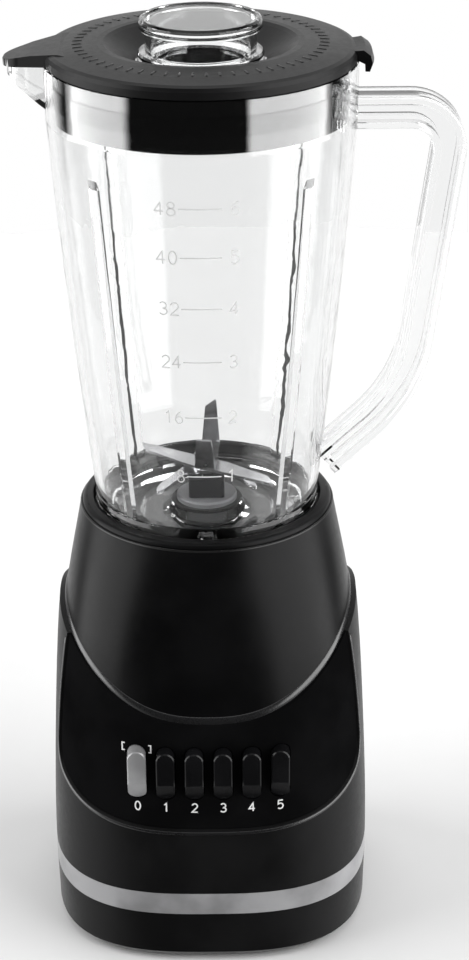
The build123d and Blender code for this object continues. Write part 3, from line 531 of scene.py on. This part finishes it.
# ---------------------------------------------------------------- button springs
BUTTONS = 6
BUTTON_PITCH = 12.62
BUTTON_X = [BUTTON_PITCH * (i - (BUTTONS - 1) / 2) for i in range(BUTTONS)]
BUTTON_JOINTS = ["off_button_press"] + [f"speed_button_{i}_press" for i in range(1, BUTTONS)]
SPRING_FRONT = -59.8
SPRING_BACK = -49.1
SPRING_Z = 100.0
SPRING_R = 3.4
WIRE_R = 0.3
SPRING_TURNS = 5
TURN_STATIONS = 28
WIRE_SIDES = 8


def button_springs(material):
    """The buttons' springs as coils, in place of the CAD ones, which are hidden."""
    count = SPRING_TURNS * TURN_STATIONS
    length = SPRING_BACK - SPRING_FRONT - 2 * WIRE_R
    for i, (x, joint) in enumerate(zip(BUTTON_X, BUTTON_JOINTS)):
        corners = []
        for k in range(count + 1):
            turn = math.tau * SPRING_TURNS * k / count
            y = SPRING_FRONT + WIRE_R + length * k / count
            out = Vector((math.cos(turn), 0.0, math.sin(turn)))
            centre = Vector((x, y, SPRING_Z)) + out * SPRING_R
            for m in range(WIRE_SIDES):
                spin = math.tau * m / WIRE_SIDES
                round_wire = out * (WIRE_R * math.cos(spin)) + Vector((0, WIRE_R * math.sin(spin), 0))
                corners.append((centre + round_wire) * MM)
        faces = tube_faces(count + 1, WIRE_SIDES)
        spring = mesh_object(f"coil_{i}", corners, faces, material, "base")
        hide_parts(f"button_spring_{i}")
        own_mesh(spring)


# ---------------------------------------------------------------- ribs of the lid
RIBS = 60
RIB_RADII = (49.2, 50.2, 51.2, 52.2, 53.2)


def on_lid(azimuth, radius):
    """The lid's top at an azimuth in degrees and a radius in mm."""
    turn = math.radians(azimuth)
    start = (radius * MM * math.cos(turn), radius * MM * math.sin(turn), OVERHEAD)
    return surface("lid", start, (0, 0, -1))


def lid_ribs(material):
    """Raised ribs set round the lid's flange, as a grip."""
    for i in range(RIBS):
        azimuth = 360 / RIBS * (i + 0.5)
        path = [on_lid(azimuth, radius) for radius in RIB_RADII]
        bead(f"lid_rib_{i}", path, 0.55, 0.3, material, "lid_unit", sink=0.3, closed=False,
             ring=7)


# ---------------------------------------------------------------- printing
PRINT_STEP = 1.2  # mm, the longest stretch of a stroke between points laid on the surface
SHARPEST = 0.5  # keeps a stroke's corner from running out to a spike
NO_LENGTH = 1e-6


def arc(x, y, rx, ry, start, end, count=14):
    """Points on an ellipse round x, y, from one angle to another in degrees."""
    turns = [math.radians(start + (end - start) * i / count) for i in range(count + 1)]
    return [(x + rx * math.cos(t), y + ry * math.sin(t)) for t in turns]


# Strokes of the digits, in a box 0.6 wide and 1 high. A full loop stops a degree before it closes.
DIGIT_WIDTH = 0.6
DIGIT_PITCH = 0.82
DIGITS = {
    "0": [arc(0.3, 0.5, 0.27, 0.5, 90, 449, 22)],
    "1": [[(0.1, 0.8), (0.32, 1), (0.32, 0)]],
    "2": [arc(0.3, 0.72, 0.27, 0.28, 165, -35) + [(0, 0), (0.6, 0)]],
    "3": [arc(0.28, 0.75, 0.25, 0.25, 150, -85) + arc(0.28, 0.26, 0.29, 0.26, 85, -150)],
    "4": [[(0.6, 0.3), (0, 0.3), (0.42, 1), (0.42, 0)]],
    "5": [[(0.55, 1), (0.1, 1), (0.06, 0.55)] + arc(0.28, 0.32, 0.29, 0.32, 118, -140)],
    "6": [arc(0.3, 0.3, 0.27, 0.3, 90, 449, 20), arc(0.56, 0.33, 0.53, 0.67, 175, 97)],
    "8": [arc(0.3, 0.27, 0.28, 0.27, 90, 449, 20), arc(0.3, 0.77, 0.23, 0.23, -90, 269, 20)],
}


def number(text, x, y, height):
    """Strokes of a number centred at x, y."""
    left = x - (len(text) - 1) * DIGIT_PITCH * height / 2 - DIGIT_WIDTH / 2 * height
    lines = []
    for i, digit in enumerate(text):
        start = left + i * DIGIT_PITCH * height
        for stroke in DIGITS[digit]:
            lines.append([(start + u * height, y + (v - 0.5) * height) for u, v in stroke])
    return lines


def finer(line):
    """The same line with points no more than PRINT_STEP apart."""
    line = [Vector(p) for p in line]
    fine = [line[0]]
    for a, b in zip(line, line[1:]):
        steps = max(1, math.ceil((b - a).length / PRINT_STEP))
        fine += [a.lerp(b, k / steps) for k in range(1, steps + 1)]
    return fine


def printed(name, lines, width, place, material, body, thick=0.05):
    """Printed strokes of one width on a surface. lines are (u, v) polylines in mm, and place maps a point of
    them to the surface. thick is how far the print stands above the surface, and reaches below it, in mm."""
    corners, faces = [], []
    for line in lines:
        line = finer(line)
        first = len(corners)
        for i, p in enumerate(line):
            before = (p - line[i - 1]).normalized() if i else None
            after = (line[i + 1] - p).normalized() if i + 1 < len(line) else None
            along = (before or after) + (after or before)
            along = along.normalized() if along.length > NO_LENGTH else (before or after)
            side = Vector((-along.y, along.x))
            reach = width / 2 / max(SHARPEST, along.dot(before or after))
            for q in (p + side * reach, p - side * reach):
                at, normal = place(q.x, q.y)
                corners += [at + normal * (thick * MM), at - normal * (thick * MM)]
        # Each point of the line has four corners: left above and below, then right above and below.
        for i in range(len(line) - 1):
            h, t = first + 4 * i, first + 4 * (i + 1)
            faces += [(h, h + 2, t + 2, t), (h + 2, h + 3, t + 3, t + 2), (h + 3, h + 1, t + 1, t + 3),
                      (h + 1, h, t, t + 1)]
        last = first + 4 * (len(line) - 1)
        faces += [(first, first + 1, first + 3, first + 2), (last, last + 2, last + 3, last + 1)]
    return mesh_object(name, corners, faces, material, body, smooth=False)


# ---------------------------------------------------------------- marks on the panel and the jar
PANEL_DIGIT_Z = 80.4
PANEL_DIGIT_HEIGHT = 4.2
PANEL_STROKE = 0.62
BRACKET_INNER = 5.2  # from the off button's middle
BRACKET_OUTER = 6.3
BRACKET_TOP = 110.6
BRACKET_LOW = 107.2
BRACKET_STROKE = 0.6

JAR_PRINT_R = 58.0  # distances round the jar are measured at this radius
SCALE_Z = (232.8, 261.1, 287.0, 311.2, 333.9, 355.0)
SCALE_LEFT = -8.4
SCALE_RIGHT = 7.7
SCALE_STEP = 8  # fluid ounces between lines, written at their left, with a count of lines at their right
ONE_DIGIT_U = -11.5
TWO_DIGITS_U = -13.4
COUNT_U = 12.6
SCALE_DIGIT_HEIGHT = 5.6
SCALE_STROKE = 0.55


def on_panel(u, v):
    """u is x and v is z."""
    return surface("control_panel", (u * MM, -OUTSIDE, v * MM), (0, 1, 0))


def on_jar(u, v):
    """u is the way round the jar from the front and v is z."""
    return around("jar", -90 + math.degrees(u / JAR_PRINT_R), v)


def panel_marks(material):
    """A digit under each button, and a bracket at each side of the first one."""
    for i, x in enumerate(BUTTON_X):
        digits = number(str(i), x, PANEL_DIGIT_Z, PANEL_DIGIT_HEIGHT)
        printed(f"button_number_{i}", digits, PANEL_STROKE, on_panel, material, "base")
    right = [(BRACKET_INNER, BRACKET_TOP), (BRACKET_OUTER, BRACKET_TOP), (BRACKET_OUTER, BRACKET_LOW),
             (BRACKET_INNER, BRACKET_LOW)]
    brackets = [[(BUTTON_X[0] + side * x, z) for x, z in right] for side in (-1, 1)]
    printed("button_bracket", brackets, BRACKET_STROKE, on_panel, material, "base")


def jar_scale(material):
    """The lines of the jar's scale, with fluid ounces at the left and a count at the right."""
    for i, z in enumerate(SCALE_Z):
        ounces = str(SCALE_STEP * (i + 1))
        lines = [[(SCALE_LEFT, z), (SCALE_RIGHT, z)]]
        lines += number(ounces, ONE_DIGIT_U if len(ounces) == 1 else TWO_DIGITS_U, z, SCALE_DIGIT_HEIGHT)
        lines += number(str(i + 1), COUNT_U, z, SCALE_DIGIT_HEIGHT)
        printed(f"jar_graduation_{i + 1}", lines, SCALE_STROKE, on_jar, material, "jar_unit")


# ---------------------------------------------------------------- the whole scene
make_camera()
make_world()
make_floor()
dress_base()
dress_motor()
dress_jar()
dress_lid()
dress_edges()
lid_ribs(moulded("lid_rib_black", (0.002, 0.002, 0.002), 0.3, specular=0.3))
panel_marks(moulded("print_white", (0.72, 0.72, 0.72), 0.5, wear=0.05))
jar_scale(moulded("print_pale", (0.6, 0.6, 0.6), 0.5, wear=0.08))
bpy.context.scene.view_settings.view_transform = "Standard"
